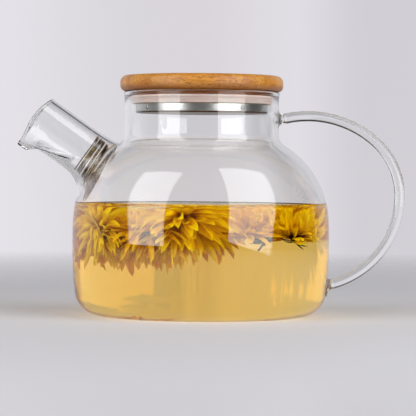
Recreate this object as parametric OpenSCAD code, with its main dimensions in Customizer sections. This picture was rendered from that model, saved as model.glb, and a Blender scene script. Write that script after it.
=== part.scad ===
// Glass teapot: blown glass pot with a fused spout and rod handle, a bamboo plug lid
// with a silicone seal and a steel inner cup, and a wire coil filter in the spout root.
// Millimetres. +Z is up, the spout points to -X and the handle to +X.
// The origin is the centre of the base, on the surface that the pot stands on.

/* [Glass pot] */
// Largest outer diameter of the pot
body_d = 130; // [122:1:138]
// Height of the widest place of the side wall
belly_h = 38; // [34:0.5:40]
// Radius of the nearly straight side wall, seen from the side
side_r = 226; // [180:1:300]
// Radius of the heel between the base and the side wall
heel_r = 13; // [9:0.5:15]
// Radius of the shoulder
shoulder_r = 47; // [44:0.5:48]
// Height of the centre of the shoulder's arc
shoulder_h = 46; // [44:0.5:48]
// Radius of the hollow curve between the shoulder and the neck
collar_r = 6; // [4:0.5:8]
// Outer diameter of the neck
neck_d = 78; // [76:0.5:82]
// Height of the top of the glass rim
rim_h = 113; // [108:0.1:118]
// Thickness of the glass wall
wall = 1.8; // [1.4:0.1:2]
// Radius of the fire-polished bead along the rim
rim_bead_r = 1.15; // [1.05:0.05:1.3]

/* [Spout] */
// Angle of the spout above the horizontal
spout_tilt = 35; // [33:0.5:37]
// Angle around the shoulder's arc at which the spout's axis leaves the pot
spout_place = 42.3; // [41:0.1:43]
// Outer diameter of the spout tube
spout_d = 25; // [23:0.5:27]
// Thickness of the spout's wall
spout_wall = 1.6; // [1.3:0.1:1.9]
// Length of the spout from the pot's surface to the mouth, along its axis
spout_length = 36; // [32:0.5:40]
// Height along the spout's axis at which the flare meets the straight tube
flare_h = 11.5; // [9:0.5:13]
// Radius of the spout's foot, where it joins the pot
foot_r = 20.2; // [19:0.1:20.5]
// How far the foot's centre lies below the spout's axis
foot_drop = 6.2; // [5.5:0.1:6.5]
// How far the pouring lip draws out of the round tube, downwards and forwards
lip_out = 2.6; // [1.5:0.1:3.5]
// Length over which the lip draws out
lip_length = 16; // [10:1:20]
// How far the sides of the mouth stand in front of its top
mouth_bow = 2.2; // [0:0.1:3]

/* [Handle] */
// Diameter of the handle rod
rod_d = 5.8; // [5:0.1:7]
// Distance from the pot's axis to the middle of the handle's bow
bow_x = 54; // [52:0.5:56]
// Height of the middle of the handle's bow
bow_h = 61.2; // [59:0.2:62]
// Reach of the bow to the side, and its radius below the middle
bow_reach = 46.8; // [45:0.1:49]
// Height of the bow above its middle
bow_rise = 40; // [39:0.5:41]
// Radius of the bow along its top
bow_top_r = 52; // [50:0.5:56]
// Angle of the bow's upper end, from its top arc's centre
bow_start = 103; // [102:0.5:104]
// Angle of the bow's lower end, from its middle
bow_end = -73.5; // [-74:0.5:-73]

/* [Lid] */
// Diameter of the bamboo disc
lid_d = 82.4; // [80:0.2:86]
// Thickness of the bamboo disc
lid_t = 8; // [6:0.5:9]
// Gap between the glass rim and the underside of the disc
lid_gap = 0.1; // [0.1:0.05:0.5]
// Diameter of the bamboo step above the seal
step_d = 70.4; // [68:0.2:72]
// Height of the bamboo step above the seal
step_t = 2; // [1.5:0.1:3]
// Diameter of the bamboo core that holds the seal and the cup
core_d = 65.4; // [64:0.2:66]
// Height of the silicone seal
seal_h = 4.2; // [3.6:0.1:5]
// Gap between the seal's lip and the neck
seal_gap = 0.3; // [0.2:0.05:0.5]
// How much the seal narrows towards its lower edge, on its radius
seal_taper = 1.9; // [1.2:0.1:2.4]
// Height of the steel cup's side
cup_h = 4.8; // [4:0.1:6]
// Thickness of the steel sheet
cup_t = 0.5; // [0.4:0.1:0.8]
// Number of pins around the steel cup
pins = 4; // [3:1:6]

/* [Spout filter] */
// Diameter of the filter's wire
wire_d = 0.7; // [0.6:0.05:0.8]
// Turns along the side of the filter
side_turns = 10; // [8:1:11]
// Turns of the flat spiral that closes the filter
end_turns = 9; // [7:1:10]
// Radius of the turn in the spout's tube
coil_small_r = 10.1; // [9.5:0.1:10.2]
// Radius of the turn inside the pot
coil_large_r = 14.6; // [13.5:0.1:15]

/* [Hidden] */
$fn = 96;
bite = 1;

// The pot's outline is four tangent arcs: heel, side, shoulder and collar.
side_c = [body_d / 2 - side_r, belly_h];
heel_a = asin((belly_h - heel_r) / (side_r - heel_r));
heel_c = [side_c[0] + (side_r - heel_r) * cos(heel_a), heel_r];
shoulder_a = asin((shoulder_h - belly_h) / (side_r - shoulder_r));
shoulder_c = [side_c[0] + (side_r - shoulder_r) * cos(shoulder_a), shoulder_h];
collar_x = neck_d / 2 + collar_r;
collar_rise = sqrt(pow(shoulder_r + collar_r, 2) - pow(collar_x - shoulder_c[0], 2));
collar_c = [collar_x, shoulder_h + collar_rise];
collar_a = atan2(collar_rise, collar_x - shoulder_c[0]);
rim_c = [neck_d / 2 - wall + rim_bead_r, rim_h - rim_bead_r];
rim_a = -acos((wall - rim_bead_r) / rim_bead_r);

// The spout's axis leaves the shoulder's arc along this line.
spout_base = shoulder_c + shoulder_r * [cos(spout_place), sin(spout_place)];
tube_r = spout_d / 2;
foot_depth = 14;

// The handle's bow is a top arc, a side arc and a lower arc, each tangent to the next.
bow_top_c = [bow_x, bow_h + bow_rise - bow_top_r];
bow_side_r = (bow_reach * bow_reach + pow(bow_top_r - bow_rise, 2) - bow_top_r * bow_top_r)
             / (2 * (bow_reach - bow_top_r));
bow_side_c = [bow_x + bow_reach - bow_side_r, bow_h];
bow_side_a = atan2(bow_side_c[1] - bow_top_c[1], bow_side_c[0] - bow_top_c[0]);
rod_r = rod_d / 2;

// Heights of the lid's layers, from the disc down.
lid_under = rim_h + lid_gap;
step_under = lid_under - step_t;
seal_under = step_under - seal_h;
cup_under = seal_under - cup_h;
core_r = core_d / 2;
cup_r = core_r + 0.1 + cup_t;
pin_r = 0.5;
pin_head_r = 1.1;
pin_depth = 4;
pin_h = cup_under + cup_h * 0.5;
pin_start = -53;

// Points of an arc from angle a to angle b, leaving out the first one
function arc(c, r, a, b, n) =
    [for (i = [1:n]) c + r * [cos(a + (b - a) * i / n), sin(a + (b - a) * i / n)]];

function reversed(list) = [for (i = [len(list) - 1:-1:0]) list[i]];

// The pot's outline from the middle of the base to the collar, moved inwards by inset
function pot_outline(inset) = concat(
    [[0, inset], [heel_c[0], inset]],
    arc(heel_c, heel_r - inset, -90, -heel_a, 14),
    arc(side_c, side_r - inset, -heel_a, shoulder_a, 10),
    arc(shoulder_c, shoulder_r - inset, shoulder_a, collar_a, 24),
    arc(collar_c, collar_r + inset, collar_a + 180, 180, 10));

// Places what is drawn along +Z on the spout's axis, with +X towards its upper side
module on_spout() {
    translate([-spout_base[0], 0, spout_base[1]]) rotate([0, spout_tilt - 90, 0]) children();
}

// A solid of the pot's outer shape, without its rim
module pot_solid() {
    rotate_extrude($fn = 288) polygon(concat(pot_outline(0), [[neck_d / 2, rim_h], [0, rim_h]]));
}

module glass_body() {
    bead_start = rim_c + rim_bead_r * [cos(rim_a), sin(rim_a)];
    section = concat(pot_outline(0), [bead_start], arc(rim_c, rim_bead_r, rim_a, 180, 16),
                     reversed(pot_outline(wall)));
    color("azure", 0.35) difference() {
        rotate_extrude() polygon(section);
        on_spout() translate([-foot_drop, 0, -foot_depth]) cylinder(r = foot_r, h = 2 * foot_depth);
    }
}

// The spout is a stack of rings along its axis. A ring's angle runs from its upper side, +X.
spout_sides = 48;
flare_rings = 9;
tube_rings = 9;

// Height of the pot's surface around the spout's foot
function foot_height(a) = -3.4 - 0.8 * cos(2 * a);

// How far the flare has opened at a share of its height
function flare_open(share) = 1 - sqrt(1 - pow(1 - share, 2));

// How far the lip is drawn out at an angle and a height on the tube
function lip_share(a, h) = pow(max(0, cos(2 * min(abs(a - 180), 45))), 2)
    * pow(max(0, 1 - (spout_length - h) / lip_length), 1.6);

function flare_point(a, share, inset) =
    let (open = flare_open(share), r = tube_r + (foot_r - tube_r) * open - inset,
         low = foot_height(a) - inset)
    [r * cos(a) - foot_drop * open, r * sin(a), low + (flare_h - low) * share];

function tube_point(a, share, inset, over) =
    let (h = flare_h + (spout_length - flare_h) * share, lip = lip_share(a, h),
         r = tube_r - inset + lip_out * lip, bow = mouth_bow * pow(sin(a), 2) + 0.6 * lip_out * lip)
    [r * cos(a), r * sin(a), h + bow * pow(share, 3) + (share == 1 ? over : 0)];

// The spout's outer volume, or with an inset the volume of its bore
module spout_volume(inset, over) {
    angles = [for (k = [0:spout_sides - 1]) 360 * k / spout_sides];
    foot = [for (a = angles) [(foot_r - inset) * cos(a) - foot_drop, (foot_r - inset) * sin(a),
                              -foot_depth - over]];
    flare = [for (i = [0:flare_rings]) for (a = angles)
        flare_point(a, sin(90 * i / flare_rings) * 0.5 + 0.5 * i / flare_rings, inset)];
    tube = [for (i = [1:tube_rings]) for (a = angles) tube_point(a, i / tube_rings, inset, over)];
    points = concat(foot, flare, tube, [[0, 0, spout_length + over + 0.7]]);
    rings = 1 + flare_rings + tube_rings;
    top = rings * spout_sides;
    skin = [for (i = [0:rings - 1]) for (k = [0:spout_sides - 1])
        let (a = i * spout_sides + k, b = i * spout_sides + (k + 1) % spout_sides)
        for (f = [[a, a + spout_sides, b], [b, a + spout_sides, b + spout_sides]]) f];
    cap = [for (k = [0:spout_sides - 1]) [top + k, len(points) - 1, top + (k + 1) % spout_sides]];
    base = [for (k = [0:spout_sides - 1]) k];
    polyhedron(points, concat(skin, cap, [base]), convexity = 6);
}

module spout() {
    color("azure", 0.35) difference() {
        on_spout() spout_volume(0, 0);
        on_spout() spout_volume(spout_wall, bite);
        rotate_extrude() polygon(concat(pot_outline(wall), [[0, collar_c[1]]]));
    }
}

// One arc of the handle rod in the XZ plane
module rod_arc(c, r, a, b) {
    translate([c[0], 0, c[1]]) rotate([90, 0, 0]) rotate([0, 0, a])
        rotate_extrude(angle = b - a) translate([r, 0]) circle(rod_r, $fn = 48);
}

module handle_rod() {
    lap = 0.5;
    color("azure", 0.35) union() {
        rod_arc([bow_x, bow_h], bow_reach, bow_end, lap);
        rod_arc(bow_side_c, bow_side_r, 0, bow_side_a);
        rod_arc(bow_top_c, bow_top_r, bow_side_a - lap, bow_start);
    }
}

// A glass lug between the rod's end, at angle a of an arc, and the pot's wall.
// It starts as half a ball and flares towards the wall, rising by rise.
module lug(c, r, a, turn, rise, flare_r, length) {
    flare = flare_r - rod_r;
    color("azure", 0.35) translate([c[0] + r * cos(a), 0, c[1] + r * sin(a)]) difference() {
        rotate([0, rise - 90, 0]) rotate_extrude() polygon(concat(
            [[0, -rod_r]], arc([0, 0], rod_r, -90, 0, 12),
            arc([flare_r, 0], flare, 180, 90, 12), [[flare_r, length], [0, length]]));
        rotate([0, turn - a, 0]) translate([0, 0, -2 * flare_r]) cylinder(r = 2 * flare_r, h = 2 * flare_r);
        translate([-c[0] - r * cos(a), 0, -c[1] - r * sin(a)]) pot_solid();
    }
}

module upper_handle_lug() {
    lug(bow_top_c, bow_top_r, bow_start, 0, 0, 4.8, 5);
}

module lower_handle_lug() {
    lug([bow_x, bow_h], bow_reach, bow_end, 180, 8, 5.9, 6);
}

module pin_holes(r) {
    for (i = [0:pins - 1])
        rotate([0, 0, pin_start + 360 * i / pins]) translate([core_r - pin_depth, 0, pin_h])
            rotate([0, 90, 0]) cylinder(r = r, h = pin_depth + cup_t + bite, $fn = 24);
}

module bamboo_lid() {
    top_round = 3.4;
    under_round = 2.9;
    lid_r = lid_d / 2;
    lid_top = lid_under + lid_t;
    core_under = cup_under + cup_t + 0.1;
    core_chamfer = 0.6;
    outline = concat(
        [[0, core_under], [core_r - core_chamfer, core_under], [core_r, core_under + core_chamfer]],
        [[core_r, step_under], [step_d / 2, step_under], [step_d / 2, lid_under]],
        [[lid_r - under_round, lid_under]],
        arc([lid_r - under_round, lid_under + under_round], under_round, -90, 0, 10),
        [[lid_r, lid_top - top_round]],
        arc([lid_r - top_round, lid_top - top_round], top_round, 0, 90, 12),
        [[0, lid_top]]);
    color("burlywood") difference() {
        rotate_extrude() polygon(outline);
        pin_holes(pin_r + 0.02);
    }
}

module silicone_seal() {
    lip_r = neck_d / 2 - wall - seal_gap;
    lip_t = 1;
    color("mistyrose") rotate_extrude() polygon([
        [core_r + 0.05, seal_under], [lip_r - seal_taper - 0.3, seal_under],
        [lip_r - seal_taper, seal_under + 0.4], [lip_r - 0.4, step_under - lip_t - 0.2],
        [lip_r, step_under - lip_t], [lip_r, step_under - 0.3],
        [lip_r - 0.3, step_under], [core_r + 0.05, step_under]]);
}

module steel_cup() {
    edge_r = 0.9;
    color("silver") difference() {
        rotate_extrude() polygon(concat(
            [[0, cup_under], [cup_r - edge_r, cup_under]],
            arc([cup_r - edge_r, cup_under + edge_r], edge_r, -90, 0, 8),
            [[cup_r, seal_under], [cup_r - cup_t, seal_under], [cup_r - cup_t, cup_under + edge_r]],
            arc([cup_r - edge_r, cup_under + edge_r], edge_r - cup_t, 0, -90, 6),
            [[0, cup_under + cup_t]]));
        pin_holes(pin_r + 0.02);
    }
}

// Round-headed pins that hold the steel cup to the bamboo core
module cup_pins() {
    head = 0.5;
    dome_r = (pin_head_r * pin_head_r + head * head) / (2 * head);
    dome_a = asin(pin_head_r / dome_r);
    color("silver") for (i = [0:pins - 1])
        rotate([0, 0, pin_start + 360 * i / pins]) translate([cup_r, 0, pin_h])
            rotate([0, 90, 0]) rotate_extrude($fn = 32) polygon(concat(
                [[0, -pin_depth], [pin_r, -pin_depth], [pin_r, 0], [pin_head_r, 0]],
                arc([0, head - dome_r], dome_r, 90 - dome_a, 90, 6)));
}

// The filter's wire, on the spout's axis: a coil that opens like a trumpet towards the pot's inside,
// where it drops and leans a little, closed at its wide end by a flat spiral
coil_out = 7;
coil_in = -3.5;
coil_drop = 6.5;
coil_lean = 9;
spiral_end_r = 1.6;
coil_steps = 20;

function coil_share(turn) = max(0, min(turn / side_turns, 1));
function coil_open(turn) = 1 - sqrt(1 - pow(coil_share(turn), 2.4));
function coil_radius(turn) = turn <= side_turns
    ? coil_small_r + (coil_large_r - coil_small_r) * coil_open(turn)
    : coil_large_r + (spiral_end_r - coil_large_r) * (turn - side_turns) / end_turns;
function coil_centre(turn) = [-coil_drop * coil_open(turn), 0,
                              coil_out + (coil_in - coil_out) * coil_share(turn)];
function coil_ray(turn) = let (lean = coil_lean * coil_share(turn), a = 360 * turn)
    [cos(a) * cos(lean), sin(a), cos(a) * sin(lean)];
function coil_point(turn) = coil_centre(turn) + coil_radius(turn) * coil_ray(turn);

module spout_filter() {
    sides = 6;
    rings = (side_turns + end_turns) * coil_steps;
    points = [for (i = [0:rings])
        let (turn = i / coil_steps, p = coil_point(turn),
             ahead = coil_point(turn + 0.01) - coil_point(turn - 0.01),
             along = ahead / norm(ahead), side = cross(along, coil_ray(turn)),
             out = cross(side, along))
        for (k = [0:sides - 1])
            p + wire_d / 2 * (cos(360 * k / sides) * out + sin(360 * k / sides) * side) / norm(side)];
    skin = [for (i = [0:rings - 1]) for (k = [0:sides - 1])
        let (a = i * sides + k, b = i * sides + (k + 1) % sides)
        [a, b, b + sides, a + sides]];
    start = [for (k = [sides - 1:-1:0]) k];
    finish = [for (k = [0:sides - 1]) rings * sides + k];
    color("gainsboro") on_spout() polyhedron(points, concat(skin, [start, finish]), convexity = 20);
}

glass_body();
spout();
handle_rod();
upper_handle_lug();
lower_handle_lug();
bamboo_lid();
silicone_seal();
steel_cup();
cup_pins();
spout_filter();
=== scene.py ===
"""The looks of the glass teapot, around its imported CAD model: one smooth blown vessel with its spout, the
bent rod handle, the bamboo lid with its silicone ring, steel cup and pins, the wire filter, and the tea with
the flowers in it. Lengths are in millimetres until a mesh is made."""

import math
import random

import bmesh
import bpy
import numpy as np
from mathutils import Matrix, Vector
from mathutils.geometry import delaunay_2d_cdt

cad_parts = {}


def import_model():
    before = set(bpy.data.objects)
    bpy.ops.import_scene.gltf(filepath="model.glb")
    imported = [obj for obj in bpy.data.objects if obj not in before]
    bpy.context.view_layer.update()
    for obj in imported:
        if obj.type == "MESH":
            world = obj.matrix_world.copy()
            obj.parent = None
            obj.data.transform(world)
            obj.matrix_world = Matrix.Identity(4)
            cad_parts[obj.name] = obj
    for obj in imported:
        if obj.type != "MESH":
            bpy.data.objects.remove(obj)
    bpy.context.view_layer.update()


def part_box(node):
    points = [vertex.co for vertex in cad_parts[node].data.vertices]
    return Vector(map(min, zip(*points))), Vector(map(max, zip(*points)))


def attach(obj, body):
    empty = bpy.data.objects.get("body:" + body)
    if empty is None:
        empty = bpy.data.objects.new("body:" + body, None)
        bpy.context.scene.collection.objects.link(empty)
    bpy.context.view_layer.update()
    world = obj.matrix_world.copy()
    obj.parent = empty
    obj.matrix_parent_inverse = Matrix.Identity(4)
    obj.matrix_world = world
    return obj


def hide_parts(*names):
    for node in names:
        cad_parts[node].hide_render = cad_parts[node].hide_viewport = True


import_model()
MM = 0.001


def box_mm(node):
    """The lowest and highest corner of a CAD node, in millimetres."""
    low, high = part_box(node)
    return np.array(low) / MM, np.array(high) / MM


# ---------------------------------------------------------------- sizes, from the frame where it has them
POT_HIGH = box_mm("glass_body")[1]
BODY_R = POT_HIGH[1]
RIM_H = POT_HIGH[2]
LID_HIGH = box_mm("bamboo_lid")[1]
LID_R, LID_TOP = LID_HIGH[0], LID_HIGH[2]
WALL = 1.8
BELLY_H, SIDE_R, HEEL_R = 38.0, 226.0, 13.0
SHOULDER_R, SHOULDER_H, COLLAR_R = 47.0, 46.0, 6.0
NECK_R, RIM_BEAD_R = 39.0, 1.15

SPOUT_TILT = math.radians(35)
SPOUT_PLACE = math.radians(42.3)
TUBE_R, SPOUT_WALL = 12.5, 1.6
SPOUT_LENGTH, FLARE_H = 36.0, 11.5
FOOT_R, FOOT_DROP = 20.2, 6.2
LIP_OUT, MOUTH_BOW = 3.9, 2.0
FOLD = math.radians(121)
# the beak is the tube's last stretch, where the pouring lip stands out; the folds run down to its tip
BEAK_LENGTH, BEAK_BLEND, BEAK_FORWARD, BEAK_NARROWING = 8.2, 4.4, 1.3, 0.34
FOLD_DROP, FOLD_FADE = 7.9, 0.02
# how far each fold and the glass below it are pressed in, as shares of the half width
GROOVE_DEPTH, GROOVE_HALF_W = 0.12, 0.75
FLANK_DEPTH, FLANK_W = 0.03, 1.6

BOW_X, BOW_H = 54.0, 61.2
BOW_REACH, BOW_RISE, BOW_TOP_R = 46.5, 40.0, 52.0
BOW_START, BOW_END = math.radians(103), math.radians(-73.5)
ROD_R = 2.6

TEA_LEVEL = 55.7
TURNS = 192
GOLDEN_ANGLE = 2.39996


# ---------------------------------------------------------------- mesh helpers
def new_piece(name, points, faces, material):
    """A smooth-shaded mesh object from points in millimetres."""
    mesh = bpy.data.meshes.new(name)
    mesh.from_pydata([tuple(p) for p in np.asarray(points, float) * MM], [], faces)
    mesh.materials.append(material)
    mesh.polygons.foreach_set("use_smooth", [True] * len(mesh.polygons))
    mesh.validate()
    mesh.update()
    piece = bpy.data.objects.new(name, mesh)
    bpy.context.scene.collection.objects.link(piece)
    return piece


def face_outwards(piece):
    """Turns a closed mesh's faces outwards."""
    bm = bmesh.new()
    bm.from_mesh(piece.data)
    bmesh.ops.recalc_face_normals(bm, faces=bm.faces)
    bm.to_mesh(piece.data)
    bm.free()
    piece.data.update()


def arc(centre, radius, start, end, step=1.6):
    """Points of an arc in a plane, from start to end in degrees, without its first point."""
    count = max(4, math.ceil(abs(math.radians(end - start)) * radius / step))
    angles = np.radians(start + (end - start) * np.arange(1, count + 1) / count)
    return [(centre[0] + radius * math.cos(a), centre[1] + radius * math.sin(a)) for a in angles]


def line(start, end, step=2.0):
    """Points of a straight stretch, without its first point."""
    count = max(1, math.ceil(math.dist(start, end) / step))
    return [tuple(np.add(start, np.subtract(end, start) * k / count)) for k in range(1, count + 1)]


def ring_angles(count):
    """Evenly spaced angles round a full turn."""
    return 2 * np.pi * np.arange(count) / count


def ring_at(r, z, count=TURNS):
    """Points of a level ring about the pot's axis, or the one point where the axis is met."""
    if r < 1e-6:
        return [(0.0, 0.0, z)]
    return [(r * math.cos(a), r * math.sin(a), z) for a in ring_angles(count)]


def turned(name, outline, material, turns=TURNS):
    """A closed solid turned about the pot's axis from an outline of (radius, height). An outline that doesn't
    start on the axis is joined end to start."""
    points, faces, rings = [], [], []
    for r, z in outline:
        ring = ring_at(r, z, turns)
        rings.append(list(range(len(points), len(points) + len(ring))))
        points += ring
    following = rings[1:] + rings[:1] if len(rings[0]) > 1 else rings[1:]
    for lower, upper in zip(rings, following):
        faces += band(lower, upper)
    piece = new_piece(name, points, faces, material)
    face_outwards(piece)
    return piece


def band(lower, upper):
    """Faces between two rings, either of which may be a single point."""
    n = max(len(lower), len(upper))
    faces = []
    for k in range(n):
        corners = [lower[k % len(lower)], lower[(k + 1) % len(lower)],
                   upper[(k + 1) % len(upper)], upper[k % len(upper)]]
        faces.append(tuple(dict.fromkeys(corners)))
    return faces


def swept(name, path, radii, material, sides, up=(0, 1, 0)):
    """A round rod along a path. Each ring lies across the path; up is any direction off the path."""
    path = np.asarray(path, float)
    radii = np.broadcast_to(radii, len(path))
    along = np.gradient(path, axis=0)
    along /= np.linalg.norm(along, axis=1)[:, None]
    side = np.cross(along, np.broadcast_to(up, path.shape))
    side /= np.linalg.norm(side, axis=1)[:, None]
    other = np.cross(along, side)
    angles = ring_angles(sides)
    rings = (path[:, None] + radii[:, None, None] * (np.cos(angles)[None, :, None] * side[:, None]
             + np.sin(angles)[None, :, None] * other[:, None]))
    points = list(rings.reshape(-1, 3)) + [path[0], path[-1]]
    index = [list(range(k * sides, (k + 1) * sides)) for k in range(len(path))]
    faces = [f for a, b in zip(index, index[1:]) for f in band(a, b)]
    faces += band([len(points) - 2], index[0]) + band(index[-1], [len(points) - 1])
    piece = new_piece(name, points, faces, material)
    face_outwards(piece)
    return piece


# ---------------------------------------------------------------- materials
def srgb(r, g, b):
    """A colour given as sRGB from 0 to 255, as the shader's linear value."""
    def linear(c):
        c /= 255
        return c / 12.92 if c <= 0.04045 else ((c + 0.055) / 1.055) ** 2.4
    return (linear(r), linear(g), linear(b), 1.0)


def grey(value):
    """A grey of a linear value."""
    return (value, value, value, 1)


WHITE, BLACK = grey(1), grey(0)


class Nodes:
    """A node tree, with short calls to add and link nodes."""

    def __init__(self, tree):
        self.tree = tree

    def feed(self, socket, value):
        """Links a socket to another one, or sets its value."""
        if isinstance(value, bpy.types.NodeSocket):
            self.tree.links.new(value, socket)
        else:
            socket.default_value = value

    def node(self, kind, values=(), **settings):
        made = self.tree.nodes.new(kind)
        for key, value in settings.items():
            setattr(made, key, value)
        for key, value in dict(values).items():
            self.feed(made.inputs[key], value)
        return made

    def ramp(self, factor, stops):
        ramp = self.node("ShaderNodeValToRGB", {"Fac": factor})
        elements = ramp.color_ramp.elements
        while len(elements) < len(stops):
            elements.new(0.5)
        for element, (place, colour) in zip(elements, stops):
            element.position = place
            element.color = colour
        return ramp.outputs["Color"]

    def mix(self, factor, first, second, blend="MIX"):
        """Two colours mixed. Inputs 6 and 7 of the node are its colours, and so is output 2."""
        return self.node("ShaderNodeMix", {"Factor": factor, 6: first, 7: second},
                         data_type="RGBA", blend_type=blend).outputs[2]

    def times(self, value, factor):
        return self.node("ShaderNodeMath", {0: value, 1: factor}, operation="MULTIPLY").outputs[0]

    def remap(self, value, low, high, source=(0, 1)):
        """A value whose range of source becomes low to high."""
        return self.node("ShaderNodeMapRange", {"Value": value, "From Min": source[0], "From Max": source[1],
                                                "To Min": low, "To Max": high}).outputs[0]

    def noise(self, vector, scale, detail=3.0, roughness=0.5):
        return self.node("ShaderNodeTexNoise", {"Vector": vector, "Scale": scale, "Detail": detail,
                                                "Roughness": roughness}).outputs["Fac"]

    def bump(self, height, strength, distance):
        return self.node("ShaderNodeBump", {"Height": height, "Strength": strength,
                                            "Distance": distance}).outputs["Normal"]

    def coordinates(self, scale=(1, 1, 1), turn=(0, 0, 0)):
        place = self.node("ShaderNodeTexCoord").outputs["Object"]
        return self.node("ShaderNodeMapping", {"Vector": place, "Scale": scale,
                                               "Rotation": turn}).outputs["Vector"]

    def height(self):
        """The height in the row frame at rest, in metres."""
        return self.node("ShaderNodeSeparateXYZ", {"Vector": self.coordinates()}).outputs["Z"]


class Shader(Nodes):
    """The node tree of a new material."""

    def __init__(self, name):
        self.material = bpy.data.materials.new(name)
        self.material.use_nodes = True
        super().__init__(self.material.node_tree)
        self.surface = self.tree.nodes["Principled BSDF"]
        self.output = self.tree.nodes["Material Output"]

    def set(self, **values):
        """Sets the surface's inputs. An underscore stands for a space in an input's name."""
        for key, value in values.items():
            self.feed(self.surface.inputs[key.replace("_", " ")], value)

    def share_surface(self, factor, other):
        """Gives another shader the share of the surface that factor says."""
        both = self.node("ShaderNodeMixShader", {0: factor, 1: self.surface.outputs[0], 2: other})
        self.feed(self.output.inputs["Surface"], both.outputs[0])

    def let_lamps_through(self):
        """Lamps reach what is behind the glass."""
        shadow = self.node("ShaderNodeLightPath").outputs["Is Shadow Ray"]
        self.share_surface(shadow, self.node("ShaderNodeBsdfTransparent", {"Color": grey(0.97)}).outputs[0])


def glass_material(name, rippled):
    """Borosilicate glass. A blown wall has soft upright ripples, and a drawn rod has none."""
    s = Shader(name)
    s.set(Base_Color=(0.985, 0.995, 0.99, 1), Roughness=0.0, IOR=1.47, Transmission_Weight=1.0)
    if rippled:
        s.set(Normal=s.bump(s.noise(s.coordinates((1, 1, 0.12)), 40.0, 1.0), 0.06, 0.0015))
    s.let_lamps_through()
    return s.material


def tea_material():
    s = Shader("amber_tea")
    s.set(Base_Color=srgb(254, 250, 236), Roughness=0.0, IOR=1.333, Transmission_Weight=1.0)
    absorb = s.node("ShaderNodeVolumeAbsorption", {"Color": (0.999, 0.80, 0.03, 1), "Density": 18.5})
    s.feed(s.output.inputs["Volume"], absorb.outputs[0])
    s.let_lamps_through()
    return s.material


def bamboo_material():
    """Bamboo turned from one block: fine fibres that run level, and dark flecks where they come to the
    surface. Painted shade darkens the disc towards its underside."""
    s = Shader("bamboo")
    grain_turn = (0, 0, math.radians(-12))
    fibre = s.noise(s.coordinates((0.05, 1, 1), grain_turn), 1300.0, 2.0, 0.6)
    broad = s.noise(s.coordinates((0.16, 1, 1), grain_turn), 120.0, 3.0, 0.6)
    fleck = s.node("ShaderNodeTexVoronoi",
                   {"Vector": s.coordinates((0.3, 1, 1)), "Scale": 1050.0}).outputs["Distance"]
    where = s.noise(s.coordinates(), 30.0, 1.0)
    base = s.ramp(broad, [(0.3, srgb(184, 110, 36)), (0.5, srgb(214, 144, 54)), (0.72, srgb(234, 172, 80))])
    dots = s.ramp(fleck, [(0.12, WHITE), (0.42, BLACK)])
    dots = s.mix(s.ramp(where, [(0.4, WHITE), (0.62, BLACK)]), dots, BLACK)
    lines = s.ramp(fibre, [(0.38, WHITE), (0.52, BLACK)])
    base = s.mix(s.times(dots, 0.8), base, srgb(112, 62, 24))
    base = s.mix(s.times(lines, 0.42), base, srgb(146, 84, 34))
    # painted shade: the disc's lowest 4 mm darken towards a deep brown, most at the underside
    lower_edge = ((LID_UNDER + 0.2) * MM, (LID_UNDER + 4.2) * MM)
    base = s.mix(s.remap(s.height(), 0.8, 0.0, lower_edge), base, srgb(118, 56, 12))
    s.set(Base_Color=base, Roughness=s.remap(fibre, 0.34, 0.5), Coat_Weight=0.15, Coat_Roughness=0.3,
          Normal=s.bump(fibre, 0.25, 0.0002))
    return s.material


def silicone_material():
    s = Shader("translucent_silicone")
    mottle = s.noise(s.coordinates(), 90.0, 2.0)
    tone = s.ramp(mottle, [(0.3, srgb(196, 176, 168)), (0.7, srgb(208, 190, 184))])
    s.set(Base_Color=tone, Roughness=0.42, Subsurface_Weight=0.3, Subsurface_Scale=0.002,
          Normal=s.bump(s.noise(s.coordinates(), 1400.0, 1.0), 0.06, 0.0002))
    return s.material


def steel_material(name, brushed, dark, light):
    """Stainless steel. A turned part is brushed round the pot's axis, so its streaks run level."""
    s = Shader(name)
    if brushed:
        streak = s.noise(s.coordinates((1, 1, 40)), 120.0, 3.0, 0.6)
    else:
        streak = s.noise(s.coordinates(), 300.0, 3.0, 0.6)
    tone = s.ramp(streak, [(0.3, dark), (0.7, light)])
    if brushed:
        lower_edge = ((CUP_LOW[2] + 0.5) * MM, (CUP_LOW[2] + 1.0) * MM)
        tone = s.mix(s.remap(s.height(), 0, 1, lower_edge), srgb(84, 58, 38), tone)
    roughness = s.remap(streak, 0.24, 0.36) if brushed else s.remap(streak, 0.05, 0.12)
    s.set(Base_Color=tone, Metallic=1.0, Roughness=roughness, Normal=s.bump(streak, 0.08, 0.0001))
    return s.material


def petal_material(name, root, middle, tip):
    """Petals that let some light through, with painted shade that makes them browner towards the root. The
    petal attribute holds the place across the petal, the place from root to tip, and how brown this petal is."""
    s = Shader(name)
    place = s.node("ShaderNodeAttribute", attribute_name="petal").outputs["Vector"]
    split = s.node("ShaderNodeSeparateXYZ", {"Vector": place})
    # painted shade: the colour deepens from the tip towards the root
    tone = s.ramp(split.outputs["Y"], [(0.0, root), (0.45, middle), (1.0, tip)])
    blotch = s.noise(s.coordinates(), 160.0, 2.0)
    tone = s.mix(s.ramp(blotch, [(0.42, BLACK), (0.7, WHITE)]), tone, s.mix(0.5, tone, root))
    tone = s.mix(s.times(split.outputs["Z"], 0.45), tone, root)
    veins = s.node("ShaderNodeTexWave", {"Vector": place, "Scale": 3.0, "Distortion": 1.0},
                   bands_direction="X").outputs["Fac"]
    s.set(Base_Color=tone, Roughness=0.6, Specular_IOR_Level=0.0, Normal=s.bump(veins, 0.3, 0.0003))
    s.share_surface(0.5, s.node("ShaderNodeBsdfTranslucent", {"Color": tone}).outputs[0])
    return s.material


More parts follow.
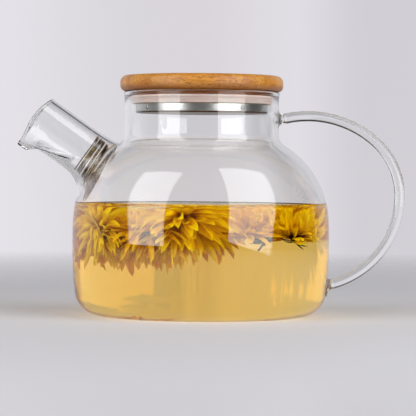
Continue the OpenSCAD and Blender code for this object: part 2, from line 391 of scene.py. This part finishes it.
# ---------------------------------------------------------------- the vessel: pot and spout in one glass
def pot_outline(inset):
    """The pot's outline, moved inwards by inset, from the middle of the base to the foot of the neck."""
    side = (BODY_R - SIDE_R, BELLY_H)
    heel_a = math.asin((BELLY_H - HEEL_R) / (SIDE_R - HEEL_R))
    heel = (side[0] + (SIDE_R - HEEL_R) * math.cos(heel_a), HEEL_R)
    top_a = math.asin((SHOULDER_H - BELLY_H) / (SIDE_R - SHOULDER_R))
    shoulder = (side[0] + (SIDE_R - SHOULDER_R) * math.cos(top_a), SHOULDER_H)
    collar_x = NECK_R + COLLAR_R
    rise = math.sqrt((SHOULDER_R + COLLAR_R) ** 2 - (collar_x - shoulder[0]) ** 2)
    collar = (collar_x, SHOULDER_H + rise)
    collar_a = math.degrees(math.atan2(rise, collar_x - shoulder[0]))
    heel_d, top_d = math.degrees(heel_a), math.degrees(top_a)
    return ([(0, inset)] + line((0, inset), (heel[0], inset), 5.0)
            + arc(heel, HEEL_R - inset, -90, -heel_d, 1.2) + arc(side, SIDE_R - inset, -heel_d, top_d, 2.0)
            + arc(shoulder, SHOULDER_R - inset, top_d, collar_a)
            + arc(collar, COLLAR_R + inset, collar_a + 180, 180, 0.9)), shoulder


def rim_outline():
    """The fire-polished bead: up the neck's outside, over the rim and down its inside."""
    bead = (NECK_R - WALL + RIM_BEAD_R, RIM_H - RIM_BEAD_R)
    start = math.degrees(-math.acos((WALL - RIM_BEAD_R) / RIM_BEAD_R))
    return arc(bead, RIM_BEAD_R, start - 1, 180, 0.35)


def spout_frame(shoulder):
    """The spout's place: the point where its axis leaves the pot, its axis, and its upper side."""
    r = shoulder[0] + SHOULDER_R * math.cos(SPOUT_PLACE)
    base = np.array([-r, 0, shoulder[1] + SHOULDER_R * math.sin(SPOUT_PLACE)])
    axis = np.array([-math.cos(SPOUT_TILT), 0, math.sin(SPOUT_TILT)])
    upper = np.array([math.sin(SPOUT_TILT), 0, math.cos(SPOUT_TILT)])
    return base, axis, upper


POT, SHOULDER_C = pot_outline(0)
SPOUT_BASE, SPOUT_AXIS, SPOUT_UPPER = spout_frame(SHOULDER_C)
SIDEWAYS = np.array([0.0, 1.0, 0.0])


def on_spout(upper, sideways, along):
    """Points given on the spout's axes, in the row frame."""
    upper, sideways, along = np.broadcast_arrays(upper, sideways, along)
    return (SPOUT_BASE + upper[..., None] * SPOUT_UPPER + sideways[..., None] * SIDEWAYS
            + along[..., None] * SPOUT_AXIS)


class Wall:
    """One face of the pot's wall, as an outline that can be looked up by height above the widest place."""

    def __init__(self, outline):
        self.outline = np.array(outline)
        self.run = np.concatenate([[0], np.cumsum(np.linalg.norm(np.diff(self.outline, axis=0), axis=1))])
        high = self.outline[:, 1] > BELLY_H
        self.r, self.z, self.s = self.outline[high, 0], self.outline[high, 1], self.run[high]

    def foot(self, inset, angles):
        """The ring where the spout meets this face: the points of a cylinder round the spout's foot."""
        radius = FOOT_R - inset
        upper, sideways = radius * np.cos(angles) - FOOT_DROP, radius * np.sin(angles)
        below_base, above_base, halvings = -14.0, 6.0, 40
        low, high = np.full(len(angles), below_base), np.full(len(angles), above_base)
        for _ in range(halvings):
            middle = (low + high) / 2
            p = on_spout(upper, sideways, middle)
            outside = np.hypot(p[:, 0], p[:, 1]) > np.interp(p[:, 2], self.z, self.r)
            low, high = np.where(outside, low, middle), np.where(outside, middle, high)
        return on_spout(upper, sideways, (low + high) / 2)

    def normal(self, points):
        """The outward normals at points on this face."""
        tilt = np.gradient(self.r, self.z)
        slope = np.interp(points[:, 2], self.z, tilt)
        radial = points[:, :2] / np.hypot(points[:, 0], points[:, 1])[:, None]
        n = np.column_stack([radial, -slope])
        return n / np.linalg.norm(n, axis=1)[:, None]


def lip(angles, along, inset):
    """The tube's cross-section at a height on its axis, pressed in along two folds that meet at the pouring
    lip. The points crowd towards the folds. Returns the section's upper and sideways coordinates, and how far
    the mouth stands forward there."""
    share = np.clip((along - FLARE_H) / (SPOUT_LENGTH - FLARE_H), 0, 1)
    beak = np.clip((along - SPOUT_LENGTH + BEAK_LENGTH) / BEAK_BLEND, 0, 1)
    beak = beak * beak * (3 - 2 * beak)
    search = np.radians(np.linspace(90, 176, 200))
    depth = -TUBE_R * np.cos(search) + LIP_OUT * beak * np.abs(np.cos(search)) ** 5
    fold = np.interp(-TUBE_R * math.cos(FOLD) + FOLD_DROP * share, depth, search)
    half = np.minimum(angles, 2 * np.pi - angles)
    below = np.pi - (np.pi - half) * (np.pi - fold) / (np.pi - FOLD)
    warped = np.where(half < FOLD, half * fold / FOLD, below)
    a = np.where(angles > np.pi, 2 * np.pi - warped, warped)
    radius = TUBE_R - inset
    low = np.clip(-np.cos(a), 0, 1)
    upper = radius * np.cos(a) - LIP_OUT * beak * low ** 5
    sideways = radius * np.sin(a) * (1 - BEAK_NARROWING * beak * low ** 3)
    past = (warped - fold) * TUBE_R
    groove = GROOVE_DEPTH * np.exp(-np.abs(past / GROOVE_HALF_W) ** 1.4)
    flank = FLANK_DEPTH * np.clip(past / FLANK_W, 0, 1)
    outer_skin = inset == 0
    fade = min(1.0, share / FOLD_FADE) * outer_skin
    forward = MOUTH_BOW * np.sin(a) ** 2 * share ** 3 + BEAK_FORWARD * beak * low ** 5
    return upper, sideways * (1 - fade * (groove + flank)), forward


def spout_skin(wall, inset, angles, steps_flare=20, steps_tube=44):
    """Rings of one face of the spout, from the pot's wall to the mouth. The flare is a curve that leaves the
    wall along the wall and meets the tube along the tube."""
    foot = wall.foot(inset, angles)
    on_axis = np.zeros(len(angles))
    inwards = on_spout(on_axis, on_axis, (foot - SPOUT_BASE) @ SPOUT_AXIS) - foot
    normal = wall.normal(foot)
    inwards -= (inwards * normal).sum(1)[:, None] * normal
    inwards /= np.linalg.norm(inwards, axis=1)[:, None]
    upper, sideways, _ = lip(angles, FLARE_H, inset)
    tube = on_spout(upper, sideways, np.full(len(angles), FLARE_H))
    reach = np.linalg.norm(np.cross(tube - foot, SPOUT_AXIS), axis=1)
    rise = (tube - foot) @ SPOUT_AXIS
    pull = 0.62
    from_wall = foot + inwards * (pull * reach)[:, None]
    to_tube = tube - SPOUT_AXIS * (pull * rise)[:, None]
    rings = []
    for t in np.linspace(0, 1, steps_flare + 1):
        rings.append((1 - t) ** 3 * foot + 3 * (1 - t) ** 2 * t * from_wall
                     + 3 * (1 - t) * t * t * to_tube + t ** 3 * tube)
    for k in range(1, steps_tube + 1):
        along = FLARE_H + (SPOUT_LENGTH - FLARE_H) * k / steps_tube
        upper, sideways, forward = lip(angles, along, inset)
        rings.append(on_spout(upper, sideways, along + forward))
    return rings


def mouth_bead(outer, inner, steps=10):
    """Rings over the mouth's rounded edge."""
    rings = []
    middle, half = (outer + inner) / 2, (outer - inner) / 2
    thick = np.linalg.norm(half, axis=1)[:, None]
    for k in range(1, steps):
        a = math.pi * k / steps
        rings.append(middle + half * math.cos(a) + SPOUT_AXIS * thick * 1.1 * math.sin(a))
    return rings


# the radius at which the wall is unrolled for the patch round the spout, and the least distance from the
# patch's inner points to the hole
PATCH_R, PATCH_GAP = 56.0, 1.5


class Vessel:
    """Collects the vessel's points and faces."""

    def __init__(self):
        self.points, self.faces = [], []

    def ring(self, points):
        start = len(self.points)
        self.points += [tuple(p) for p in points]
        return list(range(start, len(self.points)))

    def face_of_pot(self, wall, hole):
        """Adds one face of the pot's wall, with a hole joined to a ring of existing points. Returns its top
        ring. The wall is left out in a block that reaches a few cells past the hole, and patched there."""
        rows = [self.ring(ring_at(r, z)) for r, z in wall.outline]
        edge = np.array([self.points[i] for i in hole])
        u = np.arctan2(-edge[:, 1], -edge[:, 0])
        v = np.interp(edge[:, 2], wall.z, wall.s)
        half = TURNS // 2
        cell = 2 * np.pi / TURNS
        left, right = half + math.floor(u.min() / cell) - 2, half + math.ceil(u.max() / cell) + 2
        low = int(np.searchsorted(wall.run, v.min())) - 3
        high = min(int(np.searchsorted(wall.run, v.max())) + 2, len(rows) - 1)
        for j, (lower, upper) in enumerate(zip(rows, rows[1:])):
            made = band(lower, upper)
            if low <= j < high:
                made = [f for k, f in enumerate(made) if not left <= k < right]
            self.faces += made
        self.patch(rows, wall, hole, np.column_stack([u * PATCH_R, v]), (left, right, low, high))
        return rows[-1]

    def patch(self, rows, wall, hole, ring, block):
        """Fills the block of wall left out round the hole with triangles, whose corners all lie on the wall.
        The triangles are found on the wall unrolled about the pot's axis, where ring is the hole's edge."""
        left, right, low, high = block

        def unrolled(k, j):
            return (k - TURNS // 2) * (2 * np.pi / TURNS) * PATCH_R, wall.run[j]

        place, index = [], []
        loop = ([(k, low) for k in range(left, right)] + [(right, j) for j in range(low, high)]
                + [(k, high) for k in range(right, left, -1)] + [(left, j) for j in range(high, low, -1)])
        for k, j in loop:
            place.append(unrolled(k, j))
            index.append(rows[j][k % TURNS])
        edges = [(n, (n + 1) % len(loop)) for n in range(len(loop))]
        first = len(place)
        place += [tuple(p) for p in ring]
        index += hole
        edges += [(first + n, first + (n + 1) % len(hole)) for n in range(len(hole))]
        for j in range(low + 1, high):
            for k in range(left + 1, right):
                p = unrolled(k, j)
                if np.linalg.norm(ring - p, axis=1).min() > PATCH_GAP and not inside(p, ring):
                    place.append(p)
                    index.append(rows[j][k % TURNS])
        _, _, triangles, origin, _, _ = delaunay_2d_cdt([Vector(p) for p in place], edges, [], 1, 1e-5)
        place = np.array(place)
        for triangle in triangles:
            corners = [origin[i][0] for i in triangle]
            if not inside(place[corners].mean(0), ring):
                self.faces.append(tuple(index[i] for i in corners))


def inside(point, ring):
    """True if a point lies inside a closed ring of points in the plane."""
    x, y = point
    a, b = ring, np.roll(ring, -1, axis=0)
    crosses = (a[:, 1] > y) != (b[:, 1] > y)
    at = a[:, 0] + (y - a[:, 1]) * (b[:, 0] - a[:, 0]) / np.where(crosses, b[:, 1] - a[:, 1], 1)
    return bool((crosses & (x < at)).sum() % 2)


def glass_vessel(material):
    """The blown pot and its spout, with more points round the spout where its two folds are."""
    steps_round, least_gap = 264, 0.008
    beside = np.array([0.6, 1.2, 2, 3.2])
    crowded = FOLD + np.radians(np.concatenate([-beside[::-1], [0], beside]))
    crowded = np.concatenate([crowded, 2 * np.pi - crowded])
    evenly = [a for a in ring_angles(steps_round) if np.abs(crowded - a).min() > least_gap]
    angles = np.sort(np.concatenate([evenly, crowded]))
    inner_outline = pot_outline(WALL)[0]
    outer_wall, inner_wall = Wall(POT), Wall(inner_outline)
    outer = spout_skin(outer_wall, 0.0, angles)
    inner = spout_skin(inner_wall, SPOUT_WALL, angles)
    v = Vessel()
    spout = [v.ring(r) for r in outer + mouth_bead(outer[-1], inner[-1]) + inner[::-1]]
    top_outer = v.face_of_pot(outer_wall, spout[0])
    top_inner = v.face_of_pot(inner_wall, spout[-1])
    neck = line(POT[-1], (NECK_R, RIM_H - 4 * RIM_BEAD_R), 2.5) + rim_outline()
    neck += line(neck[-1], inner_outline[-1], 2.5)[:-1]
    rings = [top_outer] + [v.ring(ring_at(r, z)) for r, z in neck] + [top_inner]
    for chain in (spout, rings):
        for a, b in zip(chain, chain[1:]):
            v.faces += band(a, b)
    piece = new_piece("glass_vessel", v.points, v.faces, material)
    face_outwards(piece)
    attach(piece, "pot")
    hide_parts("glass_body", "spout")


# ---------------------------------------------------------------- handle
def handle_path():
    """The rod's centreline from the lower lug to the upper one, each end running on into the pot's wall."""
    side_r = ((BOW_REACH ** 2 + (BOW_TOP_R - BOW_RISE) ** 2 - BOW_TOP_R ** 2) / (2 * (BOW_REACH - BOW_TOP_R)))
    side = np.array([BOW_X + BOW_REACH - side_r, BOW_H])
    top = np.array([BOW_X, BOW_H + BOW_RISE - BOW_TOP_R])
    turn = math.degrees(math.atan2(side[1] - top[1], side[0] - top[0]))
    first = (BOW_X + BOW_REACH * math.cos(BOW_END), BOW_H + BOW_REACH * math.sin(BOW_END))
    path = [first] + arc((BOW_X, BOW_H), BOW_REACH, math.degrees(BOW_END), 0)
    path += arc(side, side_r, 0, turn) + arc(top, BOW_TOP_R, turn, math.degrees(BOW_START))
    return np.array([(x, 0, z) for x, z in path])


def lug_end(end, direction, wall_r, flare_r, waist, steps=14):
    """Centres and radii of a weld that runs from the rod's end into the wall, bending level on the way. It
    narrows by waist and then flares to flare_r."""
    length = max(end[0] - wall_r, 1.0)
    bend, into_wall = 0.6, 0.7
    centres, radii = [], []
    for k in range(1, steps + 1):
        t = k / steps
        grow = 1 - math.sqrt(max(0.0, 1 - t ** 2.6))
        drop = direction[2] * length * (t - t * t / 2) * bend
        centres.append(end + np.array([-length * t, 0, drop]))
        radii.append(ROD_R + (flare_r - ROD_R) * grow - waist * math.sin(math.pi * t ** 0.7) ** 0.8)
    centres.append(centres[-1] + np.array([-into_wall, 0, 0]))
    radii.append(flare_r)
    return centres, radii


def glass_handle(material):
    """The rod and both welds as one piece of glass."""
    path = handle_path()
    low_c, low_r = lug_end(path[0], path[0] - path[1], wall_r=63.9, flare_r=6.2, waist=0.2)
    top_c, top_r = lug_end(path[-1], path[-1] - path[-2], wall_r=NECK_R, flare_r=4.4, waist=0.55)
    centres = np.array(low_c[::-1] + list(path) + top_c)
    radii = np.array(low_r[::-1] + [ROD_R] * len(path) + top_r)
    piece = swept("glass_handle", centres, radii, material, sides=80)
    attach(piece, "pot")
    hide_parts("handle_rod", "upper_handle_lug", "lower_handle_lug")


# ---------------------------------------------------------------- lid
SEAL_LOW, SEAL_HIGH = box_mm("silicone_seal")
CUP_LOW, CUP_HIGH = box_mm("steel_cup")
CORE_R = CUP_HIGH[0] - 0.6
LID_UNDER = SEAL_HIGH[2] + 2.0
STEP_R = 35.2
UNDER_ROUND, TOP_ROUND = 2.9, 3.4
CROWN_W, CROWN_R = 8, 40.15
PIN_COUNT, FIRST_PIN = 4, -53
PIN_R, PIN_HEAD_R, PIN_DEPTH = 0.5, 1.05, 2.0


def bamboo_lid(material):
    """The plug's core, a step above the seal, and the disc with rounded edges and a slightly crowned top."""
    under, top, r = LID_UNDER, LID_TOP, LID_R
    core_low, core_top = CUP_LOW[2] + 0.6, SEAL_HIGH[2]
    outline = ([(0, core_low), (CORE_R - 0.6, core_low), (CORE_R, core_low + 0.6), (CORE_R, core_top)]
               + line((CORE_R, core_top), (STEP_R - 0.3, core_top), 1)
               + [(STEP_R, core_top + 0.3), (STEP_R, under)] + line((STEP_R, under), (r - UNDER_ROUND, under))
               + arc((r - UNDER_ROUND, under + UNDER_ROUND), UNDER_ROUND, -90, 0, 0.45)
               + [(r, top - TOP_ROUND)] + arc((r - TOP_ROUND, top - TOP_ROUND), TOP_ROUND, 0, 82, 0.45)
               + arc((r - CROWN_W, top - CROWN_R), CROWN_R, 84, 90, 1.0)
               + line((r - CROWN_W, top), (0, top), 4))
    piece = turned("bamboo_lid_turned", outline, material)
    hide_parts("bamboo_lid")
    return piece


def silicone_seal(material):
    low, high, r = SEAL_LOW[2], SEAL_HIGH[2], SEAL_HIGH[0]
    inner = CORE_R + 0.02
    outline = ([(inner, low), (r - 2.2, low)] + arc((r - 2.2, low + 0.3), 0.3, -90, -10, 0.12)
               + line((r - 1.9, low + 0.4), (r - 0.45, high - 1.2), 0.8) + [(r - 0.05, high - 0.95)]
               + arc((r - 0.3, high - 0.3), 0.3, 0, 90, 0.12) + [(inner, high)])
    piece = turned("silicone_seal_ring", outline, material)
    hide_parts("silicone_seal")
    return piece


def steel_cup(material):
    low, high, r = CUP_LOW[2], CUP_HIGH[2], CUP_HIGH[0]
    edge, sheet = 0.9, 0.5
    outline = ([(0, low)] + line((0, low), (r - edge, low), 6)
               + arc((r - edge, low + edge), edge, -90, 0, 0.2)
               + line((r, low + edge), (r, high - 0.2), 1.0) + [(r - 0.1, high), (r - sheet, high)]
               + line((r - sheet, high), (r - sheet, low + edge), 1.5)
               + arc((r - edge, low + edge), edge - sheet, 0, -90, 0.2) + [(0, low + sheet)])
    piece = turned("steel_cup_pressed", outline, material)
    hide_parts("steel_cup")
    return piece


def cup_pins(material):
    """Round-headed pins round the cup, each turned about its own axis and then laid level, head outwards."""
    height = (CUP_LOW[2] + CUP_HIGH[2]) / 2
    outline = [(0, -PIN_DEPTH), (PIN_R, -PIN_DEPTH), (PIN_R, 0), (PIN_HEAD_R, 0)]
    outline += arc((0, -0.96), 1.45, 41, 90, 0.2)
    pieces = []
    for k in range(PIN_COUNT):
        pin = turned(f"cup_pin_{k + 1}", outline, material, turns=24)
        a = math.radians(FIRST_PIN + 360 // PIN_COUNT * k)
        middle = Vector((CUP_HIGH[0] * math.cos(a), CUP_HIGH[0] * math.sin(a), height)) * MM
        place = Matrix.Translation(middle)
        pin.data.transform(place @ Matrix.Rotation(a, 4, "Z") @ Matrix.Rotation(math.pi / 2, 4, "Y"))
        pieces.append(pin)
    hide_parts("cup_pins")
    return pieces


# ---------------------------------------------------------------- wire filter
COIL_OUT, COIL_IN, COIL_DROP, COIL_LEAN = 7.0, -3.5, 6.5, math.radians(9)
COIL_SMALL_R, COIL_LARGE_R, SPIRAL_END_R = 10.1, 14.6, 1.6
SIDE_TURNS, END_TURNS, WIRE_R = 10, 9, 0.32
POINTS_PER_TURN = 56


def spout_filter(material):
    """A coil that widens into the pot, where it ends in a flat spiral. Its turns lean and stand unevenly."""
    turn = np.linspace(0, SIDE_TURNS + END_TURNS, (SIDE_TURNS + END_TURNS) * POINTS_PER_TURN + 1)
    share = np.clip(turn / SIDE_TURNS, 0, 1)
    opened = 1 - np.sqrt(1 - share ** 2.4)
    radius = np.where(turn <= SIDE_TURNS, COIL_SMALL_R + (COIL_LARGE_R - COIL_SMALL_R) * opened,
                      COIL_LARGE_R + (SPIRAL_END_R - COIL_LARGE_R) * (turn - SIDE_TURNS) / END_TURNS)
    lean, a = COIL_LEAN * share, 2 * np.pi * turn
    upper = -COIL_DROP * opened + radius * np.cos(a) * np.cos(lean)
    uneven = 0.3 * np.sin(2.4 * turn) + 0.16 * np.sin(5.3 * turn + 1)
    along = COIL_OUT + (COIL_IN - COIL_OUT) * share + radius * np.cos(a) * np.sin(lean) + uneven
    path = on_spout(upper, radius * np.sin(a), along)
    piece = swept("spout_filter_wire", path, WIRE_R, material, sides=8, up=SPOUT_AXIS)
    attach(piece, "filter")
    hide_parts("spout_filter")


# ---------------------------------------------------------------- tea and flowers
def tea(material):
    """Fills the pot to its level, a hair into the glass so that no film of air shows, with a raised edge."""
    wall = [p for p in pot_outline(WALL - 0.12)[0] if p[1] < TEA_LEVEL + 0.9]
    edge, edge_w, edge_h = wall[-1][0], 3.2, 1.3
    surface = [(edge - edge_w * t, TEA_LEVEL + edge_h * (1 - t) ** 3) for t in np.linspace(0, 1, 8)]
    piece = turned("tea", wall + surface + line(surface[-1], (0, TEA_LEVEL), 8), material)
    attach(piece, "pot")


def petal(length, width, hollow, steps=10, across=4):
    """A tongue-shaped petal along +Z, with its inner face to +X, as points and their place on the petal."""
    points, places = [], []
    for i in range(steps + 1):
        t = i / steps
        half = width / 2 * (0.4 + 0.6 * math.sin(math.pi * (0.86 * t) ** 0.9)) * max(0, 1 - t ** 6) ** 0.5
        for k in range(across + 1):
            s = 2 * k / across - 1
            points.append((hollow * half * s * s, half * s, length * t))
            places.append((s, t, 0.0))
    faces = [(i * (across + 1) + k, i * (across + 1) + k + 1, (i + 1) * (across + 1) + k + 1,
              (i + 1) * (across + 1) + k) for i in range(steps) for k in range(across)]
    return np.array(points), np.array(places), faces


def bent(points, bend):
    """Bends a petal towards +X over its length."""
    if abs(bend) < 1e-3:
        return points
    length = points[:, 2].max()
    radius = length / bend
    a = points[:, 2] / radius
    out = points.copy()
    out[:, 0] = radius - (radius - points[:, 0]) * np.cos(a)
    out[:, 2] = (radius - points[:, 0]) * np.sin(a)
    return out


def spin(angle, axis):
    """The turn by an angle about X, Y or Z."""
    return Matrix.Rotation(angle, 3, axis)


def facing(axis):
    """The turn that takes +Z to an axis."""
    return Vector(axis).normalized().to_track_quat("Z", "Y").to_matrix()


def flower(name, centre, axis, size, count, material, low, high, droop, lowest, rng):
    """A flower head of many petals. The axis points the way the head faces. Petals stand at angles from low
    to high off the axis, and droop downwards. What would hang below lowest is pressed up towards it."""
    root_gap, sag, give = 0.08, 0.35, 0.15
    basis = facing(axis)
    points, places, faces = [], [], []
    for k in range(count):
        outer = (k + 0.5) / count
        polar = math.radians(low + (high - low) * outer ** 0.75 + rng.uniform(-10, 10))
        around = k * GOLDEN_ANGLE + rng.uniform(-0.25, 0.25)
        length = size * (0.5 + 0.5 * outer) * rng.uniform(0.75, 1.12)
        shape, place, quads = petal(length, size * rng.uniform(0.11, 0.165), rng.uniform(0.2, 0.9))
        shape = bent(shape, rng.uniform(-0.7, 1.1))
        shape[:, 2] += size * root_gap
        twist = rng.uniform(-0.7, 0.7)
        shape = shape @ np.array(basis @ (spin(around, "Z") @ spin(polar, "Y") @ spin(twist, "Z"))).T
        reach = np.linalg.norm(shape, axis=1) / size
        shape[:, 2] -= droop * size * sag * reach ** 2
        place[:, 2] = rng.random() ** 3 * 0.8
        faces += [tuple(i + len(points) for i in q) for q in quads]
        points += list(shape + centre)
        places += list(place)
    points = keep_in_tea(np.array(points))
    points[:, 2] = np.maximum(points[:, 2], lowest + give * (points[:, 2] - lowest))
    piece = new_piece(name, points, faces, material)
    mark = piece.data.attributes.new("petal", "FLOAT_VECTOR", "POINT")
    mark.data.foreach_set("vector", np.array(places, np.float32).ravel())
    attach(piece, "pot")


def eased(values, limit, margin):
    """Values that ease towards a limit and don't pass it, from a margin below it on."""
    start = limit - margin
    over = np.maximum(values - start, 0)
    return np.where(over > 0, start + margin * (1 - np.exp(-over / margin)), values)


def keep_in_tea(points):
    """Presses what would stick out of the tea flat under its surface and inside the wall."""
    top, wall_r = TEA_LEVEL - 0.5, 57.5
    out = points.copy()
    out[:, 2] = eased(out[:, 2], top, 3)
    r = np.hypot(out[:, 0], out[:, 1])
    out[:, :2] *= (eased(r, wall_r, 5) / np.maximum(r, 1e-6))[:, None]
    return out


def calyx(name, centre, axis, size, material, rng):
    """The green cup under a flower head, of narrow sepals."""
    sepals = 26
    shape, faces = [], []
    basis = facing(axis)
    for k in range(sepals):
        sepal, _, quads = petal(size * rng.uniform(0.7, 1.15), size * 0.22, 0.5, 6, 2)
        sepal = bent(sepal, rng.uniform(-0.9, 0.4))
        turn = np.array(basis) @ np.array(spin(k * GOLDEN_ANGLE, "Z") @ spin(rng.uniform(0.6, 1.9), "Y"))
        faces += [tuple(i + len(shape) for i in q) for q in quads]
        shape += list(sepal @ turn.T)
    piece = new_piece(name, keep_in_tea(np.array(shape) + centre), faces, material)
    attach(piece, "pot")


def stalk(name, path, radius, material):
    """A round stalk along a smooth path through a few points."""
    knots = np.array(path, float)
    steps, degree = 40, len(knots) - 1
    t = np.linspace(0, degree, steps)
    fits = [np.polyfit(range(len(knots)), column, degree) for column in knots.T]
    way = np.column_stack([np.polyval(fit, t) for fit in fits])
    piece = swept(name, way, np.linspace(radius, radius * 0.6, steps), material, sides=10)
    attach(piece, "pot")


def flowers():
    yellow = petal_material("petals_yellow", srgb(222, 166, 0), srgb(250, 224, 0), srgb(255, 236, 20))
    amber = petal_material("petals_amber", srgb(196, 134, 0), srgb(238, 196, 0), srgb(250, 214, 10))
    green = petal_material("calyx_green", srgb(40, 30, 10), srgb(58, 46, 16), srgb(92, 72, 26))
    pale = petal_material("stalk_pale", srgb(206, 176, 96), srgb(214, 190, 116), srgb(224, 204, 140))
    rng = random.Random(7)
    # for each head: centre, axis, size, number of petals, material, the least and greatest angle of its
    # petals, droop, and the height it stays above
    heads = [
        ((-43, -24, 45), (-0.35, -0.25, -1), 26, 150, yellow, 5, 120, 0.6, 20),
        ((-24, -34, 43), (-0.1, -0.1, -1), 24, 140, amber, 5, 115, 0.6, 20),
        ((-8, -36, 50), (0.35, -0.3, -1), 31, 170, yellow, 5, 105, 0.5, 20),
        ((-26, 26, 42), (-0.3, 0.4, -1), 25, 110, amber, 5, 115, 0.6, 20),
        ((0, 4, 48), (0.1, 0.2, -1), 27, 110, amber, 5, 110, 0.4, 20),
        ((38, -16, 40), (0.3, -0.05, 1), 26, 150, yellow, 28, 76, -0.15, 38),
        ((20, -24, 41), (-0.1, -0.2, 1), 22, 120, amber, 28, 78, -0.15, 38),
        ((26, 26, 41), (0.2, 0.3, 1), 26, 110, amber, 25, 80, -0.1, 38),
        ((-46, 20, 42), (-0.6, 0.3, -0.9), 20, 80, amber, 5, 110, 0.6, 20),
    ]
    for k, head in enumerate(heads):
        flower(f"chrysanthemum_{k + 1}", *head, rng)
    calyx("calyx_1", (40, -20, 38.6), (0.3, -0.1, 1), 8, green, rng)
    calyx("calyx_2", (27, -28, 38.4), (-0.3, -0.4, 0.8), 7, green, rng)
    stalk("stalk_1", [(-59, -14, 53), (-54, -24, 52), (-49, -31, 47), (-46, -34, 40)], 0.7, pale)


# ---------------------------------------------------------------- studio
def camera():
    """The photograph's view: a long lens, a little above the pot and rolled a little."""
    lens = bpy.data.cameras.new("camera")
    cam = bpy.data.objects.new("camera", lens)
    bpy.context.scene.collection.objects.link(cam)
    bpy.context.scene.camera = cam
    distance, half_view, across, place_h, aim_h = 1130, 105.25, 3.6, 75, 54.4
    lens.sensor_width = 36.0
    lens.angle = 2 * math.atan(half_view / distance)
    lens.clip_start = 0.01
    place, aim = Vector((across, -distance, place_h)) * MM, Vector((across, 0, aim_h)) * MM
    cam.location = place
    turn = (aim - place).to_track_quat("-Z", "Y").to_matrix()
    roll = Matrix.Rotation(math.radians(0.45), 3, (aim - place).normalized())
    cam.rotation_euler = (roll.inverted() @ turn).to_euler()


def softbox(name, centre, across, upwards, radiance):
    """A lamp panel. across and upwards are its sides, as vectors whose cross product points away from the
    pot."""
    x, y = Vector(across), Vector(upwards)
    size = x.length, y.length
    x.normalize()
    y = (y - x * y.dot(x)).normalized()
    data = bpy.data.lights.new(name, "AREA")
    data.shape = "RECTANGLE"
    data.size, data.size_y = size
    data.energy = radiance * math.pi * size[0] * size[1]
    lamp = bpy.data.objects.new(name, data)
    bpy.context.scene.collection.objects.link(lamp)
    turn = Matrix((x, y, x.cross(y))).transposed()
    lamp.matrix_world = Matrix.Translation(centre) @ turn.to_4x4()


def world():
    """A pale backdrop behind the pot and a dim room on the camera's side. Each ramp runs along one axis of
    the direction looked in."""
    w = bpy.data.worlds.new("studio")
    bpy.context.scene.world = w
    w.use_nodes = True
    n = Nodes(w.node_tree)
    way = n.node("ShaderNodeTexCoord").outputs["Generated"]
    split = n.node("ShaderNodeSeparateXYZ", {0: way})

    def graded(axis, stops):
        return n.ramp(n.remap(split.outputs[axis], 0, 1, (-1, 1)), stops)

    upwards = graded("Z", [(0.0, grey(0.06)), (0.3, grey(0.12)), (0.38, (0.7, 0.69, 0.72, 1)),
                           (0.47, (0.76, 0.74, 0.78, 1)), (0.71, (0.72, 0.71, 0.75, 1)), (0.78, grey(0.04)),
                           (1.0, grey(0.03))])
    inwards = graded("Y", [(0.0, grey(0.05)), (0.3, grey(0.07)), (0.5, grey(0.14)), (0.6, grey(0.35)),
                           (0.72, WHITE)])
    rightwards = graded("X", [(0.4, WHITE), (0.455, (1.04, 1.04, 1.05, 1)), (0.47, grey(0.97)),
                              (0.485, (0.92, 0.91, 0.92, 1)), (0.5, (0.93, 0.91, 0.92, 1)),
                              (0.52, (1, 1, 1.01, 1)), (0.533, (0.85, 0.85, 0.86, 1)), (0.86, grey(0.92)),
                              (0.9, grey(0.05))])
    colour = n.mix(1.0, n.mix(1.0, upwards, inwards, "MULTIPLY"), rightwards, "MULTIPLY")
    back = n.tree.nodes["Background"]
    n.feed(back.inputs["Color"], colour)
    n.feed(back.inputs["Strength"], 1.0)


def floor():
    """A pale round floor that fades into the backdrop."""
    radius, sides = 900, 96
    s = Shader("pale_floor")
    place = s.node("ShaderNodeTexCoord").outputs["Object"]
    far = s.node("ShaderNodeVectorMath", {0: place}, operation="LENGTH").outputs["Value"]
    share = s.node("ShaderNodeMath", {0: far, 1: radius * MM}, operation="DIVIDE").outputs[0]
    s.set(Base_Color=(0.76, 0.75, 0.78, 1), Roughness=0.7)
    clear = s.node("ShaderNodeBsdfTransparent").outputs[0]
    s.share_surface(s.ramp(share, [(0.28, BLACK), (0.95, WHITE)]), clear)
    disc = new_piece("floor", ring_at(radius, -0.05, sides), [tuple(range(sides))], s.material)


def render_settings():
    scene = bpy.context.scene
    scene.view_settings.view_transform = "Standard"
    cycles = scene.cycles
    cycles.max_bounces, cycles.transmission_bounces, cycles.transparent_max_bounces = 32, 32, 32
    cycles.glossy_bounces, cycles.diffuse_bounces = 8, 4
    cycles.caustics_refractive = cycles.caustics_reflective = True
    cycles.blur_glossy = 0.3
    cycles.sample_clamp_indirect = 6.0
    cycles.use_denoising = True


def main():
    camera()
    glass_vessel(glass_material("blown_borosilicate_glass", True))
    glass_handle(glass_material("drawn_borosilicate_glass", False))
    brushed = steel_material("brushed_stainless_steel", True, (0.5, 0.51, 0.49, 1), (0.66, 0.66, 0.64, 1))
    polished = steel_material("polished_stainless_steel", False, (0.3, 0.3, 0.29, 1), (0.4, 0.4, 0.39, 1))
    lid = [bamboo_lid(bamboo_material()), silicone_seal(silicone_material()), steel_cup(brushed)]
    lid += cup_pins(polished)
    for piece in lid:
        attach(piece, "lid")
    # the wire's bronze colours are a painted reflection of the amber tea, and their dark end is painted shade
    # on the turns
    spout_filter(steel_material("stainless_wire_painted_tea_reflection", False, srgb(92, 76, 50), srgb(168, 150, 116)))
    tea(tea_material())
    flowers()
    floor()
    world()
    softbox("softbox_left", (-0.752, -0.53, 0.62), (0.607, -0.398, 0.0), (0.177, 0.552, 1.248), 3.0)
    softbox("softbox_right", (0.672, -0.434, 0.62), (0.702, 0.354, -0.08), (-0.033, 0.587, 1.266), 3.0)
    render_settings()


main()
